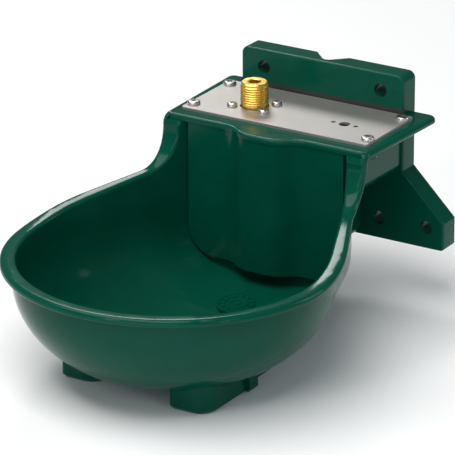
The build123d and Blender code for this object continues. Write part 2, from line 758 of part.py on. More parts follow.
def valve_gasket():
    """Rubber sheet between the cover and the valve's flange."""
    sheet = valve_outline()
    sheet -= Pos(VALVE_X, VALVE_Y) * Circle(NIPPLE_COLLAR / 2 + SCREW_GAP)
    for x, y in valve_screw_places():
        sheet -= Pos(x, y) * Circle(M4 / 2 + SCREW_GAP)
    return Pos(0, 0, FLANGE_TOP) * extrude(sheet, amount=VALVE_GASKET)


def valve_screws():
    """Four M4 screws through the cover into the valve's flange."""
    return Compound([pan_screw(x, y, M4, M4_HEAD, M4_HEAD_HEIGHT, M4_LENGTH).solid()
                     for x, y in valve_screw_places()])


def valve_body():
    """Moulded valve: flange, socket for the nipple, plunger guide, ears and stop."""
    body = Pos(0, 0, FLANGE_BOTTOM) * extrude(valve_outline(), amount=VALVE_FLANGE_THICK)
    body += post(VALVE_X, VALVE_Y, VALVE_OUTER, VALVE_SKIRT_BOTTOM, FLANGE_BOTTOM + MARGIN)
    ear_in = HUB_WIDTH / 2 + EAR_GAP
    ear_out = ear_in + EAR_THICK
    rear = PIVOT_X - EAR_REAR
    front = PIVOT_X + EAR_FRONT
    for side in (-1, 1):
        low, high = sorted((side * ear_in, side * ear_out))
        body += block(rear, front, VALVE_Y + low, VALVE_Y + high,
                      EAR_BOTTOM, FLANGE_BOTTOM + MARGIN)
    body += block(rear, rear + STOP_THICK, VALVE_Y - ear_out, VALVE_Y + ear_out,
                  STOP_Z, FLANGE_BOTTOM + MARGIN)
    body -= post(VALVE_X, VALVE_Y, NIPPLE_COLLAR + 2 * SPIGOT_GAP, COLLAR_BOTTOM, DECK_Z)
    body -= post(VALVE_X, VALVE_Y, SOCKET, SOCKET_FLOOR, DECK_Z)
    body -= post(VALVE_X, VALVE_Y, SEAT_FLANGE + 2 * THREAD_GAP,
                 SOCKET_FLOOR - SEAT_FLANGE_THICK, DECK_Z)
    body -= post(VALVE_X, VALVE_Y, SEAT_STEM + 2 * THREAD_GAP,
                 VALVE_CEILING - MARGIN, DECK_Z)
    guide = PLUNGER_OUTER + 2 * PLUNGER_RUN_GAP
    body -= post(VALVE_X, VALVE_Y, guide, EAR_BOTTOM - MARGIN, VALVE_CEILING)
    for turn in range(OUTLET_COUNT // 2):
        window = Rot(0, 0, 45 + turn * 360 / OUTLET_COUNT) * Box(
            VALVE_OUTER + 2 * MARGIN, OUTLET_WIDTH, VALVE_CEILING - SEAL_TOP)
        body -= Pos(VALVE_X, VALVE_Y, (VALVE_CEILING + SEAL_TOP) / 2) * window
    for x, y in valve_screw_places():
        body -= post(x, y, M4 + 2 * THREAD_GAP, FLANGE_BOTTOM - MARGIN, FLANGE_TOP + MARGIN)
    return body - rod_y(PIVOT_X, PIVOT_Z, PIN + 2 * PIN_GAP,
                        VALVE_Y - ear_out - MARGIN, VALVE_Y + ear_out + MARGIN)


def valve_seat():
    """Brass seat with the orifice that the plunger closes."""
    orifice = SEAT_ORIFICE / 2
    stem = SEAT_STEM / 2
    flange_low = SOCKET_FLOOR - SEAT_FLANGE_THICK
    return turned([
        (orifice, SEAT_Z), (stem - SEAT_LIP_CHAMFER, SEAT_Z),
        (stem, SEAT_Z + SEAT_LIP_CHAMFER), (stem, flange_low),
        (SEAT_FLANGE / 2, flange_low), (SEAT_FLANGE / 2, SOCKET_FLOOR),
        (orifice, SOCKET_FLOOR)])


def plunger():
    """The piston under the seat, drawn with the valve open."""
    top = SEAL_TOP - PLUNGER_SEAL_PROUD
    low = top - PLUNGER_HEIGHT
    pad = PLUNGER_PAD / 2
    pad_low = NOSE_TOP + CONTACT_GAP
    recess = PLUNGER_SEAL / 2 + THREAD_GAP
    recess_low = SEAL_TOP - PLUNGER_SEAL_THICK
    outer = PLUNGER_OUTER / 2
    return turned([
        (0, pad_low), (pad, pad_low), (pad, low), (outer, low), (outer, top),
        (recess, top), (recess, recess_low), (0, recess_low)])


def plunger_seal():
    """Rubber disc in the plunger's top."""
    return post(VALVE_X, VALVE_Y, PLUNGER_SEAL, SEAL_TOP - PLUNGER_SEAL_THICK, SEAL_TOP)


def pin_half_length():
    """Half the pivot pin: ears, clips and a little tail."""
    return HUB_WIDTH / 2 + EAR_GAP + EAR_THICK + CLIP_GAP + CLIP_THICK + PIN_TAIL


def pivot_pin():
    """Steel pin that the float arm turns on."""
    half = pin_half_length()
    pin = rod_y(PIVOT_X, PIVOT_Z, PIN, VALVE_Y - half, VALVE_Y + half)
    return chamfer(pin.edges().filter_by(GeomType.CIRCLE), PIN_CHAMFER)


def pin_clips():
    """A spring clip on each end of the pin."""
    clips = []
    for side in (-1, 1):
        near = HUB_WIDTH / 2 + EAR_GAP + EAR_THICK + CLIP_GAP
        low, high = sorted((side * near, side * (near + CLIP_THICK)))
        clip = rod_y(PIVOT_X, PIVOT_Z, CLIP_OUTER, VALVE_Y + low, VALVE_Y + high)
        low, high = low - MARGIN, high + MARGIN
        clip -= rod_y(PIVOT_X, PIVOT_Z, PIN + 2 * THREAD_GAP, VALVE_Y + low, VALVE_Y + high)
        clip -= block(PIVOT_X - CLIP_OUTER, PIVOT_X, VALVE_Y + low, VALVE_Y + high,
                      PIVOT_Z - CLIP_MOUTH / 2, PIVOT_Z + CLIP_MOUTH / 2)
        clips.append(clip.solid())
    return Compound(clips)


def hanging(shape):
    """Swing a piece of the level float arm down onto its stop."""
    return (Pos(PIVOT_X, 0, PIVOT_Z) * Rot(0, FLOAT_SWING / 2, 0)
            * Pos(-PIVOT_X, 0, -PIVOT_Z) * shape)


def float_arm():
    """The lever: hub, tail, nose under the plunger and boss for the stem."""
    half = ARM_WIDTH / 2
    arm = block(PIVOT_X - ARM_TAIL, FLOAT_X, VALVE_Y - half, VALVE_Y + half,
                PIVOT_Z - ARM_THICK / 2, PIVOT_Z + ARM_THICK / 2)
    arm += rod_y(PIVOT_X, PIVOT_Z, HUB_OUTER, VALVE_Y - HUB_WIDTH / 2, VALVE_Y + HUB_WIDTH / 2)
    arm += rod_y(VALVE_X, PIVOT_Z + NOSE_HEIGHT, 2 * NOSE_RADIUS, VALVE_Y - half, VALVE_Y + half)
    arm += post(FLOAT_X, VALVE_Y, STEM_BOSS,
                PIVOT_Z - STEM_BOSS_HEIGHT / 2, PIVOT_Z + STEM_BOSS_HEIGHT / 2)
    arm -= post(FLOAT_X, VALVE_Y, STEM + 2 * THREAD_GAP, PIVOT_Z - DRILL, PIVOT_Z + DRILL)
    arm -= rod_y(PIVOT_X, PIVOT_Z, PIN + 2 * PIN_GAP, VALVE_Y - HUB_WIDTH, VALVE_Y + HUB_WIDTH)
    return hanging(arm)


def float_top():
    """Height of the float's top while the arm is level."""
    return PIVOT_Z - FLOAT_CENTRE_DROP + FLOAT_HEIGHT / 2


def float_stem():
    """Threaded stem that sets the float's height under the arm."""
    top = PIVOT_Z + STEM_BOSS_HEIGHT / 2 + NUT_HEIGHT + STEM_TAIL
    return hanging(post(FLOAT_X, VALVE_Y, STEM, float_top() - STEM_SOCKET, top))


def float_nuts():
    """Nuts above and below the arm's boss and on the float."""
    nuts = []
    lows = (PIVOT_Z + STEM_BOSS_HEIGHT / 2, PIVOT_Z - STEM_BOSS_HEIGHT / 2 - NUT_HEIGHT,
            float_top())
    for low in lows:
        hexagon = RegularPolygon(NUT_FLATS / 2, 6, major_radius=False)
        hexagon -= Circle(STEM / 2 + THREAD_GAP)
        nut = Pos(FLOAT_X, VALVE_Y, low) * extrude(hexagon, amount=NUT_HEIGHT)
        nuts.append(hanging(nut).solid())
    return Compound(nuts)


def float_block():
    """The float, a block of closed foam with rounded edges and a socket for the stem."""
    centre = Pos(FLOAT_X, VALVE_Y, PIVOT_Z - FLOAT_CENTRE_DROP)
    shape = Box(FLOAT_WIDTH, FLOAT_LENGTH, FLOAT_HEIGHT)
    shape = centre * fillet(shape.edges(), FLOAT_ROUND)
    shape -= post(FLOAT_X, VALVE_Y, STEM + 2 * THREAD_GAP, float_top() - STEM_SOCKET,
                  float_top() + MARGIN)
    return hanging(shape)


NODES = {
    "bowl_body": bowl_body,
    "float_guard": float_guard,
    "cover_plate": cover_plate,
    "rear_seal_strip": rear_seal_strip,
    "cover_screws": cover_screws,
    "cover_inserts": cover_inserts,
    "inlet_nipple": inlet_nipple,
    "nipple_o_ring": nipple_o_ring,
    "inlet_strainer": inlet_strainer,
    "valve_gasket": valve_gasket,
    "valve_screws": valve_screws,
    "valve_body": valve_body,
    "valve_seat": valve_seat,
    "plunger": plunger,
    "plunger_seal": plunger_seal,
    "pivot_pin": pivot_pin,
    "pin_clips": pin_clips,
    "float_arm": float_arm,
    "float_stem": float_stem,
    "float_nuts": float_nuts,
    "float": float_block,
}


if __name__ == "__main__":
    os.makedirs("parts", exist_ok=True)
    for name, build in NODES.items():
        export_step(build(), f"parts/{name}.step")
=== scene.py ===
"""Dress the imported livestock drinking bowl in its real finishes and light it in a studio.

The bowl is a dark green moulding with a stainless cover, a brass inlet nipple and a float
valve. Every size is in millimetres here and turned to metres where a mesh is made.
"""

import json
import logging
import math
from dataclasses import dataclass, field
from enum import Enum

import bmesh
import bpy
from mathutils import Matrix, Vector


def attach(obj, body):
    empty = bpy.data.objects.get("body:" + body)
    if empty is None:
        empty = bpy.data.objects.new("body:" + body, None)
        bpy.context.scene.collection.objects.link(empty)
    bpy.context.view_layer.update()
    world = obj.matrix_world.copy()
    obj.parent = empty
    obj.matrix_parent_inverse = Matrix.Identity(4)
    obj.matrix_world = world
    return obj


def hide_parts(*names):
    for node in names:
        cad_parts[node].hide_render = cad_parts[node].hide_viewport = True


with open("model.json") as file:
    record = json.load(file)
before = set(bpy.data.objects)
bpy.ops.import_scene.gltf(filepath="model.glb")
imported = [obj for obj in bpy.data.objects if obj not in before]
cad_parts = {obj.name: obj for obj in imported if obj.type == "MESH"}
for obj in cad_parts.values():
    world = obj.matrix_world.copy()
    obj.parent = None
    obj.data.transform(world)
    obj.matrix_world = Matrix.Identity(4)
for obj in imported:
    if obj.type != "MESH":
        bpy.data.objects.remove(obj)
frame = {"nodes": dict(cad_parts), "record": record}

LOG = logging.getLogger("drinking_bowl")
MM = 0.001
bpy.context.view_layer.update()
ORIGIN, UP, DOWN = (0, 0, 0), (0, 0, 1), (0, 0, -1)
# The Mix node's colour sockets share their names with its number sockets.
MIX_A, MIX_B, MIX_RESULT = 6, 7, 2


class Slot(Enum):
    """The record's material slots."""

    MOULDING = "green_moulding"
    COVER = "cover_steel"
    STEEL = "bright_steel"
    BRASS = "brass"
    RUBBER_AND_GAP_SHADE = "black_rubber"
    VALVE = "valve_plastic"
    FOAM = "float_foam"


def linear(colour: str) -> tuple[float, float, float, float]:
    """Turn an sRGB hex colour into the linear values that shaders take.

    Args:
        colour: six hex digits with a leading hash.

    Returns:
        Red, green, blue and an alpha of one.
    """
    parts = [int(colour[i:i + 2], 16) / 255 for i in (1, 3, 5)]
    # The sRGB curve: a straight foot, then a power.
    curve = [p / 12.92 if p <= 0.04045 else ((p + 0.055) / 1.055) ** 2.4 for p in parts]
    return (*curve, 1.0)


def add_node(tree: bpy.types.NodeTree, kind: str,
             inputs: dict[str | int, object] | None = None,
             **settings: object) -> bpy.types.Node:
    """Add one shader node with its settings, values and links.

    Args:
        tree: the material's node tree.
        kind: Blender's name of the node type.
        inputs: socket name or number to a value, or to the socket that feeds it.
        settings: properties of the node itself.

    Returns:
        The new node.
    """
    made = tree.nodes.new(kind)
    for name, value in settings.items():
        setattr(made, name, value)
    for name, value in (inputs or {}).items():
        if isinstance(value, bpy.types.NodeSocket):
            tree.links.new(value, made.inputs[name])
        else:
            made.inputs[name].default_value = value
    return made


def per_mm(size: float) -> float:
    """Scale a pattern on Object coordinates so that its features are this many mm."""
    return 1 / (size * MM)


@dataclass(frozen=True)
class Finish:
    """What every finish shares: two colours that blend in patches, and how glossy it is."""

    name: str
    colour: str
    second_colour: str
    roughness: float
    shine: float = 0.5
    metallic: float = 0.0
    # The patches in which the second colour shows: their size in mm, and how ragged they are.
    patch: float = 12.0
    patch_detail: float = 5.0
    patch_roughness: float = 0.5

    def shade(self, tree: bpy.types.NodeTree, shader: bpy.types.Node,
              where: bpy.types.NodeSocket) -> None:
        """Add the finish's own gloss and relief to the shader.

        Args:
            tree: the material's node tree.
            shader: its Principled node.
            where: the Object coordinates.
        """

    def make(self) -> bpy.types.Material:
        """Build the material with its two colours, then its own gloss and relief.

        Returns:
            The finished material.
        """
        material = bpy.data.materials.new(self.name)
        material.use_nodes = True
        tree = material.node_tree
        shader = tree.nodes["Principled BSDF"]
        shader.inputs["Base Color"].default_value = linear(self.colour)
        shader.inputs["Roughness"].default_value = self.roughness
        shader.inputs["Specular IOR Level"].default_value = self.shine
        shader.inputs["Metallic"].default_value = self.metallic
        where = add_node(tree, "ShaderNodeTexCoord").outputs["Object"]
        patches = add_node(tree, "ShaderNodeTexNoise",
                           {"Vector": where, "Scale": per_mm(self.patch),
                            "Detail": self.patch_detail, "Roughness": self.patch_roughness})
        blend = add_node(tree, "ShaderNodeMix",
                         {"Factor": patches.outputs["Fac"], MIX_A: linear(self.colour),
                          MIX_B: linear(self.second_colour)}, data_type="RGBA")
        tree.links.new(blend.outputs[MIX_RESULT], shader.inputs["Base Color"])
        self.shade(tree, shader, where)
        return material


@dataclass(frozen=True)
class MouldedPlastic(Finish):
    """Injection-moulded plastic: even colour, a faint flow mottle, slightly wavy gloss."""

    # Sizes in mm. Real orange peel is about 0.3 across and is drawn coarser so that it shows.
    patch: float = 26.0
    haze: float = 9.0
    wave: float = 17.0
    wave_height: float = 0.05
    peel: float = 0.9
    peel_height: float = 0.0035
    patch_detail: float = 4.0
    patch_roughness: float = 0.55
    # The noise values that turn into gloss, and how far the roughness swings with them.
    haze_span: tuple[float, float] = (0.3, 0.7)
    haze_depth: float = 0.04

    def shade(self, tree: bpy.types.NodeTree, shader: bpy.types.Node,
              where: bpy.types.NodeSocket) -> None:
        """Add a hazy gloss, the mould's waviness and a fine orange peel.

        Args:
            tree: the material's node tree.
            shader: its Principled node.
            where: the Object coordinates.
        """
        low, high = self.haze_span
        haze = add_node(tree, "ShaderNodeTexNoise",
                        {"Vector": where, "Scale": per_mm(self.haze), "Detail": 5.0,
                         "Roughness": 0.6})
        gloss = add_node(tree, "ShaderNodeMapRange",
                         {"Value": haze.outputs["Fac"], "From Min": low, "From Max": high,
                          "To Min": self.roughness - self.haze_depth,
                          "To Max": self.roughness + self.haze_depth})
        tree.links.new(gloss.outputs["Result"], shader.inputs["Roughness"])
        wave = add_node(tree, "ShaderNodeTexNoise",
                        {"Vector": where, "Scale": per_mm(self.wave), "Detail": 1.0})
        waviness = add_node(tree, "ShaderNodeBump",
                            {"Height": wave.outputs["Fac"], "Strength": 1.0,
                             "Distance": self.wave_height * MM})
        peel = add_node(tree, "ShaderNodeTexNoise",
                        {"Vector": where, "Scale": per_mm(self.peel), "Detail": 2.0})
        relief = add_node(tree, "ShaderNodeBump",
                          {"Height": peel.outputs["Fac"], "Strength": 1.0,
                           "Distance": self.peel_height * MM,
                           "Normal": waviness.outputs["Normal"]})
        tree.links.new(relief.outputs["Normal"], shader.inputs["Normal"])


@dataclass(frozen=True)
class BrushedSheet(Finish):
    """Ground stainless sheet: a fine grain along the cover and soft clouds in its grey."""

    # Sizes in mm. A real grain line is about 0.05 wide and is drawn coarser so that it shows.
    patch: float = 30.0
    grain: float = 0.35
    grain_length: float = 14.0
    grain_height: float = 0.004
    metallic: float = 1.0
    patch_detail: float = 3.0
    # The noise values that turn into gloss, and how far the roughness swings with them.
    grain_span: tuple[float, float] = (0.25, 0.75)
    grain_depth: float = 0.1

    def shade(self, tree: bpy.types.NodeTree, shader: bpy.types.Node,
              where: bpy.types.NodeSocket) -> None:
        """Add a stretched grain to the gloss and the relief.

        Args:
            tree: the material's node tree.
            shader: its Principled node.
            where: the Object coordinates.
        """
        low, high = self.grain_span
        along, across = per_mm(self.grain_length), per_mm(self.grain)
        stretch = add_node(tree, "ShaderNodeMapping",
                           {"Vector": where, "Scale": (along, across, across)})
        grain = add_node(tree, "ShaderNodeTexNoise",
                         {"Vector": stretch.outputs["Vector"], "Scale": 1.0, "Detail": 4.0})
        gloss = add_node(tree, "ShaderNodeMapRange",
                         {"Value": grain.outputs["Fac"], "From Min": low, "From Max": high,
                          "To Min": self.roughness - self.grain_depth,
                          "To Max": self.roughness + self.grain_depth})
        tree.links.new(gloss.outputs["Result"], shader.inputs["Roughness"])
        relief = add_node(tree, "ShaderNodeBump",
                          {"Height": grain.outputs["Fac"], "Strength": 1.0,
                           "Distance": self.grain_height * MM})
        tree.links.new(relief.outputs["Normal"], shader.inputs["Normal"])


@dataclass(frozen=True)
class TurnedMetal(Finish):
    """Machined or cold-formed metal: fine tool marks and a little tarnish in patches."""

    # Sizes in mm. Real tool marks lie about 0.1 apart and are drawn coarser so that they show.
    patch: float = 9.0
    mark: float = 0.22
    mark_length: float = 6.0
    mark_height: float = 0.0006
    metallic: float = 1.0
    patch_detail: float = 4.0
    # The noise values that turn into gloss, and the share of the roughness that it swings by.
    mark_span: tuple[float, float] = (0.25, 0.75)
    gloss_swing: float = 0.3

    def shade(self, tree: bpy.types.NodeTree, shader: bpy.types.Node,
              where: bpy.types.NodeSocket) -> None:
        """Add tool marks round the axis to the gloss and the relief.

        Args:
            tree: the material's node tree.
            shader: its Principled node.
            where: the Object coordinates.
        """
        low, high = self.mark_span
        along, across = per_mm(self.mark_length), per_mm(self.mark)
        stretch = add_node(tree, "ShaderNodeMapping",
                           {"Vector": where, "Scale": (along, along, across)})
        marks = add_node(tree, "ShaderNodeTexNoise",
                         {"Vector": stretch.outputs["Vector"], "Scale": 1.0, "Detail": 2.0})
        gloss = add_node(tree, "ShaderNodeMapRange",
                         {"Value": marks.outputs["Fac"], "From Min": low, "From Max": high,
                          "To Min": self.roughness * (1 - self.gloss_swing),
                          "To Max": self.roughness * (1 + self.gloss_swing)})
        tree.links.new(gloss.outputs["Result"], shader.inputs["Roughness"])
        relief = add_node(tree, "ShaderNodeBump",
                          {"Height": marks.outputs["Fac"], "Strength": 1.0,
                           "Distance": self.mark_height * MM})
        tree.links.new(relief.outputs["Normal"], shader.inputs["Normal"])


@dataclass(frozen=True)
class MattSurface(Finish):
    """Rubber, matt moulding or foam: a fine grain and dusty patches, no clear reflection."""

    # Sizes in mm. The grain of rubber or a matt moulding is under 0.1 and is drawn coarser.
    grain: float = 0.5
    grain_height: float = 0.02

    def shade(self, tree: bpy.types.NodeTree, shader: bpy.types.Node,
              where: bpy.types.NodeSocket) -> None:
        """Add a grain to the relief.

        Args:
            tree: the material's node tree.
            shader: its Principled node.
            where: the Object coordinates.
        """
        grain = add_node(tree, "ShaderNodeTexNoise",
                         {"Vector": where, "Scale": per_mm(self.grain), "Detail": 3.0})
        relief = add_node(tree, "ShaderNodeBump",
                          {"Height": grain.outputs["Fac"], "Strength": 1.0,
                           "Distance": self.grain_height * MM})
        tree.links.new(relief.outputs["Normal"], shader.inputs["Normal"])


@dataclass
class Surfaces:
    """The finished materials, one for each slot."""

    made: dict[Slot, bpy.types.Material] = field(init=False)

    def __post_init__(self) -> None:
        """Build every material once."""
        finishes = {
            # Deep, even green with crisp reflections that pool along every rounded edge.
            Slot.MOULDING: MouldedPlastic("green_polypropylene_moulded", "#034C3C", "#02402F",
                                          0.14, shine=0.12),
            # Pale warm grey: lamps smear into one soft sheen, as on sheet with a ground grain.
            Slot.COVER: BrushedSheet("stainless_sheet_ground", "#BCB9B4", "#B1AEA9", 0.54),
            # Brighter and smoother than the sheet, so each head carries a small hard glint.
            Slot.STEEL: TurnedMetal("stainless_cold_formed", "#CDCAC5", "#BDBAB5", 0.3),
            # Warm yellow with a soft highlight on each crest and amber in the thread's valleys.
            Slot.BRASS: TurnedMetal("brass_machined", "#FFE07C", "#FAD26A", 0.3),
            # Brown-black rubber that swallows reflections. The strip under the sheet's rear edge
            # is partly a seal and partly painted shade, the dark gap there.
            Slot.RUBBER_AND_GAP_SHADE: MattSurface("rubber_extruded_and_gap_shade", "#2B221F", "#1C1715", 0.62),
            # Near-black with a dull sheen on the edges of the valve's moulding.
            Slot.VALVE: MattSurface("acetal_moulded", "#20211F", "#191A19", 0.42,
                                    grain_height=0.004),
            # Chalky off-white with no clear reflection. Its pebbly grain stands for cells of
            # about 0.5 mm and is drawn coarser.
            Slot.FOAM: MattSurface("foam_closed_cell", "#D8D5C8", "#C4C0B2", 0.7,
                                   grain=1.6, grain_height=0.12),
        }
        self.made = {slot: finish.make() for slot, finish in finishes.items()}

    def dress(self, piece: bpy.types.Object, slot: Slot) -> None:
        """Give a piece the slot's material and nothing else.

        Args:
            piece: the mesh object to dress.
            slot: the material slot that the record names.
        """
        piece.data.materials.clear()
        piece.data.materials.append(self.made[slot])


def body_of(node: str) -> str:
    """Name the body that carries a CAD node."""
    return next(body for body, nodes in frame["record"]["behaviour"]["bodies"].items()
                if node in nodes)


def slot_of(node: str) -> Slot:
    """Look up the material slot that the record gives a CAD node."""
    return next(Slot(part["material_slot"]) for part in frame["record"]["subparts"]
                if part["node"] == node)


def place(piece: bpy.types.Object, node: str, surfaces: Surfaces, instead: bool = True) -> None:
    """Put a new piece on a CAD node's body and in its finish.

    Args:
        piece: the new mesh object.
        node: the CAD node that it belongs to.
        surfaces: the finished materials.
        instead: whether the piece stands for the node, or only adds to it.
    """
    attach(piece, body_of(node))
    if instead:
        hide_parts(node)
    slot = slot_of(node)
    surfaces.dress(piece, slot)


def new_piece(name: str, bm: bmesh.types.BMesh) -> bpy.types.Object:
    """Turn a bmesh into an object at the origin.

    Args:
        name: the object's name.
        bm: its mesh, in metres; it is freed.

    Returns:
        The new object.
    """
    mesh = bpy.data.meshes.new(name)
    bm.to_mesh(mesh)
    bm.free()
    made = bpy.data.objects.new(name, mesh)
    bpy.context.scene.collection.objects.link(made)
    return made


def turn(bm: bmesh.types.BMesh, profile: list[tuple[float, float]], steps: int,
         closed: bool = True) -> None:
    """Turn a profile once round the upright axis, as on a lathe.

    Args:
        bm: the mesh that gets the turned shape.
        profile: radius and height of each point, in millimetres.
        steps: how many flats make up the turn.
        closed: whether the last point joins the first.
    """
    points = [bm.verts.new((radius * MM, 0, height * MM)) for radius, height in profile]
    start = 0 if closed else 1
    edges = [bm.edges.new((points[i - 1], points[i])) for i in range(start, len(points))]
    bmesh.ops.spin(bm, geom=points + edges, cent=ORIGIN, axis=UP, angle=2 * math.pi,
                   steps=steps, use_merge=True)


def finish_turned(bm: bmesh.types.BMesh, name: str, centres: list[tuple[float, float]],
                  crease: float = math.radians(40)) -> bpy.types.Object:
    """Point a turned mesh's faces outwards, crease its edges and set it at each place.

    Args:
        bm: the mesh on its own upright axis; it is freed.
        name: the new object's name.
        centres: where the axis stands, in millimetres.
        crease: the angle past which an edge stays crisp.

    Returns:
        The new object.
    """
    bmesh.ops.recalc_face_normals(bm, faces=bm.faces)
    for face in bm.faces:
        face.smooth = True
    for edge in bm.edges:
        edge.smooth = edge.calc_face_angle(0.0) < crease
    pattern = list(bm.verts) + list(bm.edges) + list(bm.faces)
    for x, y in centres[1:]:
        copied = bmesh.ops.duplicate(bm, geom=pattern)
        verts = [item for item in copied["geom"] if isinstance(item, bmesh.types.BMVert)]
        bmesh.ops.translate(bm, verts=verts, vec=(x * MM, y * MM, 0))
    first = [item for item in pattern if isinstance(item, bmesh.types.BMVert)]
    bmesh.ops.translate(bm, verts=first, vec=(centres[0][0] * MM, centres[0][1] * MM, 0))
    return new_piece(name, bm)


@dataclass
class SmoothShells:
    """The CAD shapes with their seams joined, so that curved walls shade as one surface."""

    surfaces: Surfaces
    # Corners within this many mm are joined, and edges sharper than the crease stay crisp.
    join: float = 0.002
    crease: float = math.radians(28)

    def skin(self, node: str) -> bpy.types.Object:
        """Copy one node, join its loose triangles and keep its edges crisp.

        Args:
            node: the CAD node to stand for.

        Returns:
            The new piece.
        """
        bm = bmesh.new()
        bm.from_mesh(frame["nodes"][node].data)
        bmesh.ops.remove_doubles(bm, verts=bm.verts, dist=self.join * MM)
        for face in bm.faces:
            face.smooth = True
        for edge in bm.edges:
            edge.smooth = edge.is_manifold and edge.calc_face_angle(0.0) < self.crease
        piece = new_piece(f"{node}_skin", bm)
        place(piece, node, self.surfaces)
        return piece

    def build(self, nodes: list[str]) -> list[bpy.types.Object]:
        """Skin each of the given nodes."""
        return [self.skin(node) for node in nodes]


@dataclass
class InletNipple:
    """The brass nipple with its real pipe thread."""

    surfaces: Surfaces
    node: str = "inlet_nipple"
    centre: tuple[float, float] = (-33.5, -57.5)
    # The G 1/2 pipe thread in mm: its outside diameter, pitch and depth.
    outer: float = 20.955
    pitch: float = 1.814
    depth: float = 1.162
    # Each point of the rounded crest: mm below the full radius, and half width in pitches.
    crest: tuple[tuple[float, float], ...] = ((0.3, 0.2), (0.12, 0.12), (0.03, 0.05))
    # The tooth's foot: its half width in pitches, and how far it goes into the core in mm.
    base_share: float = 0.49
    sink: float = 0.15
    # The core in mm: heights (top, _low and _high), diameters, and two chamfers.
    thread_low: float = 35.9
    thread_high: float = 53.0
    top: float = 54.0
    plain: float = 19.8
    chamfer: float = 0.8
    bore: float = 9.0
    mouth: float = 0.4
    collar: float = 25.6
    collar_low: float = 29.0
    cover_low: float = 33.0
    spigot: float = 17.0
    spigot_low: float = 20.2
    groove: float = 13.6
    groove_low: float = 23.4
    groove_high: float = 25.8
    strainer_bore: float = 12.2
    strainer_top: float = 35.2
    steps: int = 96

    def outline(self) -> list[tuple[float, float]]:
        """Trace the turned core, from the bore's foot round to it again.

        Returns:
            Radius and height of each point, in millimetres.
        """
        root = self.outer / 2 - self.depth
        return [
            (self.bore / 2, self.strainer_top), (self.bore / 2, self.top - self.mouth),
            (self.bore / 2 + self.mouth, self.top), (self.plain / 2 - self.chamfer, self.top),
            (self.plain / 2, self.top - self.chamfer), (self.plain / 2, self.thread_high),
            (root, self.thread_high - self.depth), (root, self.cover_low),
            (self.collar / 2, self.cover_low), (self.collar / 2, self.collar_low),
            (self.spigot / 2, self.collar_low), (self.spigot / 2, self.groove_high),
            (self.groove / 2, self.groove_high), (self.groove / 2, self.groove_low),
            (self.spigot / 2, self.groove_low), (self.spigot / 2, self.spigot_low),
            (self.strainer_bore / 2, self.spigot_low), (self.strainer_bore / 2, self.strainer_top),
        ]

    def ridge(self, bm: bmesh.types.BMesh) -> None:
        """Wind one tooth of the thread round the core.

        Args:
            bm: the nipple's mesh, on its own axis.
        """
        radius = self.outer / 2
        inner = radius - self.depth - self.sink
        upper = [(inner, self.base_share)] + [(radius - drop, share) for drop, share in self.crest]
        tooth = [(reach, -share) for reach, share in upper] + upper[::-1]
        first = self.thread_low + self.base_share * self.pitch
        turns = (self.thread_high - self.base_share * self.pitch - first) / self.pitch
        count = round(turns * self.steps)
        verts = [bm.verts.new((reach * MM, 0, (first + share * self.pitch) * MM))
                 for reach, share in tooth]
        cap = bm.faces.new(verts)
        wound = bmesh.ops.spin(bm, geom=verts + list(cap.edges), cent=ORIGIN, axis=UP,
                               dvec=(0, 0, self.pitch / self.steps * MM),
                               angle=2 * math.pi * count / self.steps, steps=count)
        last = [item for item in wound["geom_last"] if isinstance(item, bmesh.types.BMEdge)]
        bmesh.ops.contextual_create(bm, geom=last)

    def build(self) -> bpy.types.Object:
        """Turn the core, wind the thread and move both to the valve's axis.

        Returns:
            The nipple.
        """
        bm = bmesh.new()
        turn(bm, self.outline(), self.steps)
        self.ridge(bm)
        piece = finish_turned(bm, "inlet_nipple_threaded", [self.centre])
        place(piece, self.node, self.surfaces)
        return piece


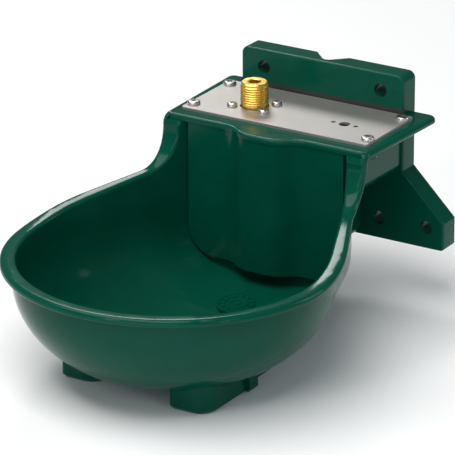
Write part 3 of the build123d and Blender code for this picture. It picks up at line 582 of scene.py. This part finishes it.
@dataclass
class PanScrews:
    """One set of pan-head screws with cross recesses, standing on the cover."""

    surfaces: Surfaces
    node: str
    # Sizes in mm. The seat is the height of the cover's top.
    centres: list[tuple[float, float]]
    shank: float
    head: float
    head_height: float
    length: float
    seat: float = 35.0
    # Shares of the head: its flat top, its straight side and the length of its recess.
    flat_share: float = 0.6
    side_share: float = 0.3
    recess_share: float = 0.52
    # The recess and the thread in mm, and how near two corners are joined.
    recess_width: float = 1.15
    recess_depth: float = 0.9
    pitch: float = 0.8
    thread_depth: float = 0.35
    join: float = 0.001
    round_steps: int = 6
    steps: int = 48

    def outline(self) -> list[tuple[float, float]]:
        """Trace one screw, from the head's middle over its round edge and down the shank.

        Returns:
            Radius and height of each point, in millimetres.
        """
        top = self.seat + self.head_height
        outer = self.head / 2
        flat = outer * self.flat_share
        side = self.seat + self.head_height * self.side_share
        arc = [(flat + (outer - flat) * math.sin(lean), side + (top - side) * math.cos(lean))
               for lean in (math.pi / 2 * step / self.round_steps
                            for step in range(self.round_steps + 1))]
        core = self.shank / 2
        tip = self.seat - self.length
        teeth = []
        for count in range(int((self.length - self.pitch) / self.pitch)):
            crest = self.seat - self.pitch * (count + 1)
            root = crest - self.pitch / 2
            teeth += [(core, crest), (core - self.thread_depth, root)]
        return [(0, top), *arc, (outer, self.seat), (core, self.seat), *teeth,
                (core - self.thread_depth, tip), (0, tip)]

    def recess(self) -> bpy.types.Object:
        """Make the cross-shaped block that is cut from the head.

        Returns:
            The block, as a helper object that is removed after the cut.
        """
        bm = bmesh.new()
        top = self.seat + self.head_height
        for long, wide in ((self.head * self.recess_share, self.recess_width),
                           (self.recess_width, self.head * self.recess_share)):
            made = bmesh.ops.create_cube(bm, size=MM)
            bmesh.ops.scale(bm, verts=made["verts"], vec=(long, wide, 2 * self.recess_depth))
            bmesh.ops.translate(bm, verts=made["verts"], vec=(0, 0, top * MM))
        return new_piece("recess_cutter", bm)

    def recessed(self, blank: bpy.types.Object) -> bmesh.types.BMesh:
        """Cut the recess from one turned screw.

        Args:
            blank: the screw, which is removed after the cut.

        Returns:
            The cut screw's mesh.
        """
        cutter = self.recess()
        cut = blank.modifiers.new("recess", "BOOLEAN")
        cut.operation = "DIFFERENCE"
        cut.solver = "EXACT"
        cut.use_self = True
        cut.object = cutter
        seen = blank.evaluated_get(bpy.context.evaluated_depsgraph_get())
        bm = bmesh.new()
        bm.from_mesh(seen.to_mesh())
        seen.to_mesh_clear()
        for spare in (blank, cutter):
            bpy.data.objects.remove(spare)
        return bm

    def build(self) -> bpy.types.Object:
        """Turn one screw, cut its recess and repeat it at every place.

        Returns:
            The whole set.
        """
        bm = bmesh.new()
        turn(bm, self.outline(), self.steps, closed=False)
        bmesh.ops.remove_doubles(bm, verts=bm.verts, dist=self.join * MM)
        bmesh.ops.recalc_face_normals(bm, faces=bm.faces)
        bm = self.recessed(new_piece("screw_blank", bm))
        piece = finish_turned(bm, f"{self.node}_pan", self.centres)
        place(piece, self.node, self.surfaces)
        return piece


def screw_sets(surfaces: Surfaces) -> list[PanScrews]:
    """Size and place the cover's M5 corner screws and the valve's smaller M4 ones.

    Args:
        surfaces: the finished materials.

    Returns:
        Both sets, not yet built.
    """
    corner_x, corner_ys = 74.0, (-77.2, -26.6)
    valve_x, valve_y = InletNipple.centre
    reach_x, reach_y = 13.5, 9.5
    corners = [(x, y) for x in (-corner_x, corner_x) for y in corner_ys]
    ring = [(valve_x + x, valve_y + y) for x in (-reach_x, reach_x) for y in (-reach_y, reach_y)]
    return [
        PanScrews(surfaces, "cover_screws", corners, shank=5.0, head=9.8, head_height=2.5,
                  length=11.0, flat_share=0.76),
        PanScrews(surfaces, "valve_screws", ring, shank=4.0, head=7.9, head_height=2.8,
                  length=9.0, pitch=0.7),
    ]


@dataclass
class FloorMark:
    """Raised rings and spokes on the round pad in the floor of the basin's neck."""

    surfaces: Surfaces
    node: str = "bowl_body"
    centre: tuple[float, float] = (0.0, -138.0)
    # Radii in mm: of each ring, and where a spoke starts and ends.
    rings: tuple[float, ...] = (13.2, 8.6, 3.6)
    spokes: int = 12
    spoke_ends: tuple[float, float] = (9.4, 12.4)
    # A ridge in mm: its width, its height over the pad and its depth in it. Half of its flat
    # crest is this share of the width.
    width: float = 1.1
    height: float = 0.45
    sink: float = 0.2
    crest_share: float = 0.25
    steps: int = 64

    def ring(self, bm: bmesh.types.BMesh, radius: float) -> None:
        """Turn one low ring with sloping sides.

        Args:
            bm: the mark's mesh, on its own upright axis.
            radius: the ring's middle radius, in millimetres.
        """
        foot, crest = self.width / 2, self.width * self.crest_share
        section = [(-foot, -self.sink), (-crest, self.height),
                   (crest, self.height), (foot, -self.sink)]
        turn(bm, [(radius + across, up) for across, up in section], self.steps)

    def spoke(self, bm: bmesh.types.BMesh, angle: float) -> None:
        """Lay one flat spoke between the two outer rings.

        Args:
            bm: the mark's mesh, on its own upright axis.
            angle: the spoke's direction, in radians.
        """
        inner, outer = self.spoke_ends
        made = bmesh.ops.create_cube(bm, size=MM)
        bmesh.ops.scale(bm, verts=made["verts"],
                        vec=(outer - inner, self.width / 2, self.height + self.sink))
        bmesh.ops.translate(bm, verts=made["verts"], vec=(
            (inner + outer) / 2 * MM, 0, (self.height - self.sink) / 2 * MM))
        bmesh.ops.rotate(bm, verts=made["verts"], cent=ORIGIN,
                         matrix=Matrix.Rotation(angle, 3, "Z"))

    def build(self) -> bpy.types.Object:
        """Set the rings and spokes on the pad, square to its surface.

        Returns:
            The mark.
        """
        bm = bmesh.new()
        for radius in self.rings:
            self.ring(bm, radius)
        for count in range(self.spokes):
            self.spoke(bm, 2 * math.pi * count / self.spokes)
        bmesh.ops.recalc_face_normals(bm, faces=bm.faces)
        above = Vector((*self.centre, 0)) * MM
        _, spot, normal, _ = frame["nodes"][self.node].ray_cast(above, Vector(DOWN))
        tilt = Vector(UP).rotation_difference(normal).to_matrix()
        bmesh.ops.rotate(bm, verts=bm.verts, cent=ORIGIN, matrix=tilt)
        bmesh.ops.translate(bm, verts=bm.verts, vec=spot)
        piece = new_piece("floor_mark_rings", bm)
        place(piece, self.node, self.surfaces, instead=False)
        return piece


@dataclass(frozen=True)
class SoftBox:
    """One rectangular soft lamp: its place, width and height in mm, watts and colour."""

    name: str
    spot: tuple[float, float, float]
    size: tuple[float, float]
    power: float
    colour: str = "#FFFFFF"


@dataclass
class Studio:
    """Pale floor, white surroundings, soft lamps and the photograph's camera."""

    # The camera, fitted to the photograph: its angles in degrees, its place in mm, its lens,
    # and its nearest and furthest distance in mm.
    azimuth: float = 31.889
    elevation: float = 21.464
    roll: float = -0.143
    camera: tuple[float, float, float] = (1408.5, -2413.3, 1024.4)
    focal_pixels: float = 3978.45
    photo_pixels: float = 455.0
    sensor: float = 36.0
    clip: tuple[float, float] = (50.0, 40000.0)
    # The floor lies at the feet's lowest point and reaches this far in mm from the middle.
    floor_z: float = -109.0
    floor_reach: float = 6000.0
    floor_colour: str = "#F4F4F3"
    floor_roughness: float = 0.9
    floor_shine: float = 0.1
    sky_strength: float = 0.16
    # Every lamp faces this point over the basin, in mm.
    lamp_aim: tuple[float, float, float] = (0.0, -170.0, -20.0)
    # The key and side boxes stand behind and draw the pale lines along the rounded edges;
    # the cool fill gives the outer wall its blue-green cast.
    boxes: tuple[SoftBox, ...] = (
        SoftBox("top_softbox", (-250, -750, 1800), (2500, 1200), 44.0),
        SoftBox("key_softbox", (-834, 895, 1006), (420, 420), 6.0),
        SoftBox("right_softbox", (1700, -900, 500), (260, 900), 2.5),
        SoftBox("side_softbox", (1500, 1000, 650), (600, 900), 6.5, "#E4F2FF"),
        SoftBox("strip_softbox", (-300, -1900, 900), (160, 900), 4.5),
        SoftBox("front_fill", (500, -2200, 250), (1600, 500), 8.5, "#C8E6FF"),
    )

    def floor(self) -> None:
        """Lay a large pale sheet under the bowl's feet."""
        bm = bmesh.new()
        bmesh.ops.create_grid(bm, x_segments=1, y_segments=1, size=self.floor_reach * MM)
        bmesh.ops.translate(bm, verts=bm.verts, vec=(0, 0, self.floor_z * MM))
        sheet = new_piece("studio_floor", bm)
        material = bpy.data.materials.new("studio_floor_paper")
        material.use_nodes = True
        shader = material.node_tree.nodes["Principled BSDF"]
        shader.inputs["Base Color"].default_value = linear(self.floor_colour)
        shader.inputs["Roughness"].default_value = self.floor_roughness
        shader.inputs["Specular IOR Level"].default_value = self.floor_shine
        sheet.data.materials.append(material)

    def surroundings(self) -> None:
        """Surround everything with an even white."""
        world = bpy.data.worlds.new("studio_white")
        world.use_nodes = True
        sky = world.node_tree.nodes["Background"]
        sky.inputs["Color"].default_value = (1.0, 1.0, 1.0, 1.0)
        sky.inputs["Strength"].default_value = self.sky_strength
        bpy.context.scene.world = world

    def lamp(self, box: SoftBox) -> None:
        """Hang one soft box so that it faces the bowl.

        Args:
            box: the lamp to hang.
        """
        data = bpy.data.lights.new(box.name, "AREA")
        data.color = linear(box.colour)[:3]
        data.shape = "RECTANGLE"
        data.size, data.size_y = (side * MM for side in box.size)
        data.energy = box.power
        made = bpy.data.objects.new(box.name, data)
        bpy.context.scene.collection.objects.link(made)
        made.location = Vector(box.spot) * MM
        aim = Vector(self.lamp_aim) * MM - made.location
        made.rotation_euler = aim.to_track_quat("-Z", "Y").to_euler()

    def viewpoint(self) -> None:
        """Set the camera where the photograph was taken from."""
        data = bpy.data.cameras.new("camera")
        data.sensor_width = self.sensor
        data.lens = self.focal_pixels * self.sensor / self.photo_pixels
        data.clip_start, data.clip_end = (distance * MM for distance in self.clip)
        made = bpy.data.objects.new("camera", data)
        bpy.context.scene.collection.objects.link(made)
        aim = (Matrix.Rotation(math.radians(self.azimuth), 4, "Z")
               @ Matrix.Rotation(math.radians(90 - self.elevation), 4, "X")
               @ Matrix.Rotation(math.radians(self.roll), 4, "Z"))
        made.matrix_world = Matrix.Translation(Vector(self.camera) * MM) @ aim
        bpy.context.scene.camera = made

    def build(self) -> None:
        """Set up the whole studio."""
        self.viewpoint()
        self.floor()
        self.surroundings()
        for box in self.boxes:
            self.lamp(box)
        bpy.context.scene.view_settings.view_transform = "Standard"


def main() -> None:
    """Build the studio and every piece, in order."""
    logging.basicConfig(level=logging.INFO, format="%(message)s")
    Studio().build()
    surfaces = Surfaces()
    pieces = [FloorMark(surfaces).build()]
    modelled = [InletNipple(surfaces), *screw_sets(surfaces)]
    pieces += [part.build() for part in modelled]
    shown = {part.node for part in modelled}
    pieces += SmoothShells(surfaces).build([node for node in frame["nodes"] if node not in shown])
    for piece in pieces:
        LOG.info("%s: %d faces", piece.name, len(piece.data.polygons))


if __name__ == "__main__":
    main()
